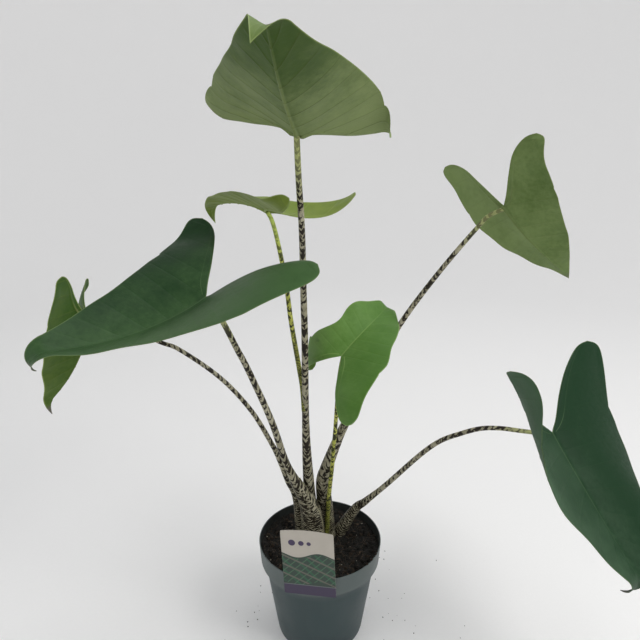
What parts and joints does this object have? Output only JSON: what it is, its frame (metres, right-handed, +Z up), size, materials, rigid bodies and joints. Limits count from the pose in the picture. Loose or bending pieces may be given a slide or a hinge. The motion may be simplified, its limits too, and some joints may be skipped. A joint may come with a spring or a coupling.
{
  "type": "potted zebrina alocasia",
  "caption": "Tall aroid house plant with arrow-shaped leaves on banded stems, standing in peat in a lipped nursery pot with a plain plant label hung on its rim.",
  "frame": {"origin": "middle of the pot's flat base, on the surface that the pot stands on", "axes": "+Z up along the pot's axis; -Y is the side that the plant label hangs on; +X is to the right when the label is seen from the front"},
  "size_m": [0.7539, 0.4391, 0.7943],
  "materials": {
    "stem": "smooth waxy stalk, pale beige-green with dark brown transverse bands",
    "stem_young": "smooth waxy stalk, yellow-green with darker mottling",
    "leaf_underside": "matte olive green blade seen mostly from below, with darker veins",
    "leaf_young": "satin light green blade",
    "leaf_mature": "glossy dark green blade with a paler margin and midrib",
    "leaf_translucent": "thin yellow-green blade with pale glowing margins",
    "pot_plastic": "thin moulded plastic, dark grey-green, satin",
    "soil": "loose damp peat with fibres and chips",
    "label_card": "smooth printed plastic card, cream with a green panel and a plum band"
  },
  "bodies": {
    "root": {"stem_a": "stem", "stem_b": "stem_young", "stem_c": "stem", "stem_d": "stem", "stem_e": "stem", "stem_f": "stem", "stem_g": "stem_young", "leaf_a": "leaf_underside", "leaf_b": "leaf_young", "leaf_c": "leaf_mature", "leaf_d": "leaf_translucent", "leaf_e": "leaf_underside", "leaf_f": "leaf_mature", "leaf_g": "leaf_young", "pot": "pot_plastic", "soil": "soil", "label": "label_card"}
  },
  "joints": []
}
